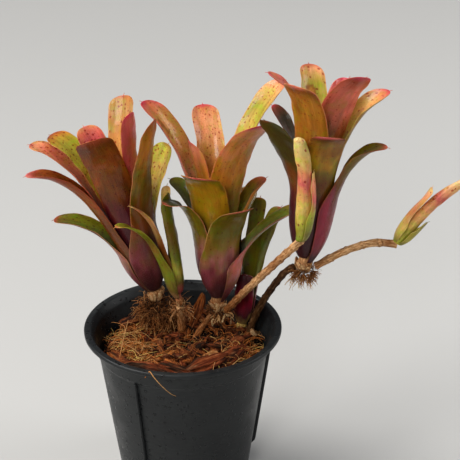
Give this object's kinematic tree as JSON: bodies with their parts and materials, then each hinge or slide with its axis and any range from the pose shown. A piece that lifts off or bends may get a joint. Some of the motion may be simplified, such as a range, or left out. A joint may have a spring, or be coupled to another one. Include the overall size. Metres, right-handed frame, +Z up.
{
  "type": "potted bromeliad",
  "caption": "Clump of small spreading bromeliad rosettes with strap leaves, joined by runners, in a round tapered nursery pot of husk mix.",
  "frame": {"origin": "centre of the pot's underside, on the surface it stands on", "axes": "+Z up along the pot's axis, -Y the front, +X towards the hanging right-hand rosette"},
  "size_m": [0.2239, 0.105, 0.2327],
  "materials": {
    "pot": "satin",
    "potting_mix": "matte",
    "left_leaves": "satin",
    "centre_leaves": "satin",
    "right_leaves": "satin",
    "back_leaves": "satin",
    "pup_leaves": "satin",
    "front_shoot": "satin",
    "side_shoot": "satin",
    "stems": "matte",
    "roots": "matte"
  },
  "bodies": {
    "root": {"pot": "pot", "potting_mix": "potting_mix", "left_leaf_1": "left_leaves", "left_leaf_2": "left_leaves", "left_leaf_3": "left_leaves", "left_leaf_4": "left_leaves", "left_leaf_5": "left_leaves", "left_leaf_6": "left_leaves", "left_leaf_7": "left_leaves", "left_leaf_8": "left_leaves", "left_leaf_9": "left_leaves", "left_leaf_10": "left_leaves", "left_leaf_11": "left_leaves", "centre_leaf_1": "centre_leaves", "centre_leaf_2": "centre_leaves", "centre_leaf_3": "centre_leaves", "centre_leaf_4": "centre_leaves", "centre_leaf_5": "centre_leaves", "centre_leaf_6": "centre_leaves", "centre_leaf_7": "centre_leaves", "centre_leaf_8": "centre_leaves", "centre_leaf_9": "centre_leaves", "centre_leaf_10": "centre_leaves", "centre_leaf_11": "centre_leaves", "centre_leaf_12": "centre_leaves", "right_leaf_1": "right_leaves", "right_leaf_2": "right_leaves", "right_leaf_3": "right_leaves", "right_leaf_4": "right_leaves", "right_leaf_5": "right_leaves", "right_leaf_6": "right_leaves", "right_leaf_7": "right_leaves", "right_leaf_8": "right_leaves", "right_leaf_9": "right_leaves", "right_leaf_10": "right_leaves", "back_leaf_1": "back_leaves", "back_leaf_2": "back_leaves", "back_leaf_3": "back_leaves", "back_leaf_4": "back_leaves", "pup_leaf_1": "pup_leaves", "pup_leaf_2": "pup_leaves", "pup_leaf_3": "pup_leaves", "pup_leaf_4": "pup_leaves", "side_shoot_bract_1": "side_shoot", "side_shoot_bract_2": "side_shoot", "front_shoot": "front_shoot", "front_shoot_bract": "front_shoot", "side_shoot": "side_shoot", "left_crown": "stems", "centre_crown": "stems", "right_crown": "stems", "back_crown": "stems", "pup_crown": "stems", "runner_mix_to_centre": "stems", "runner_centre_to_front_shoot": "stems", "runner_mix_to_right": "stems", "runner_right_to_side_shoot": "stems", "pup_stalk": "stems", "right_root_tuft": "roots"}
  },
  "joints": []
}
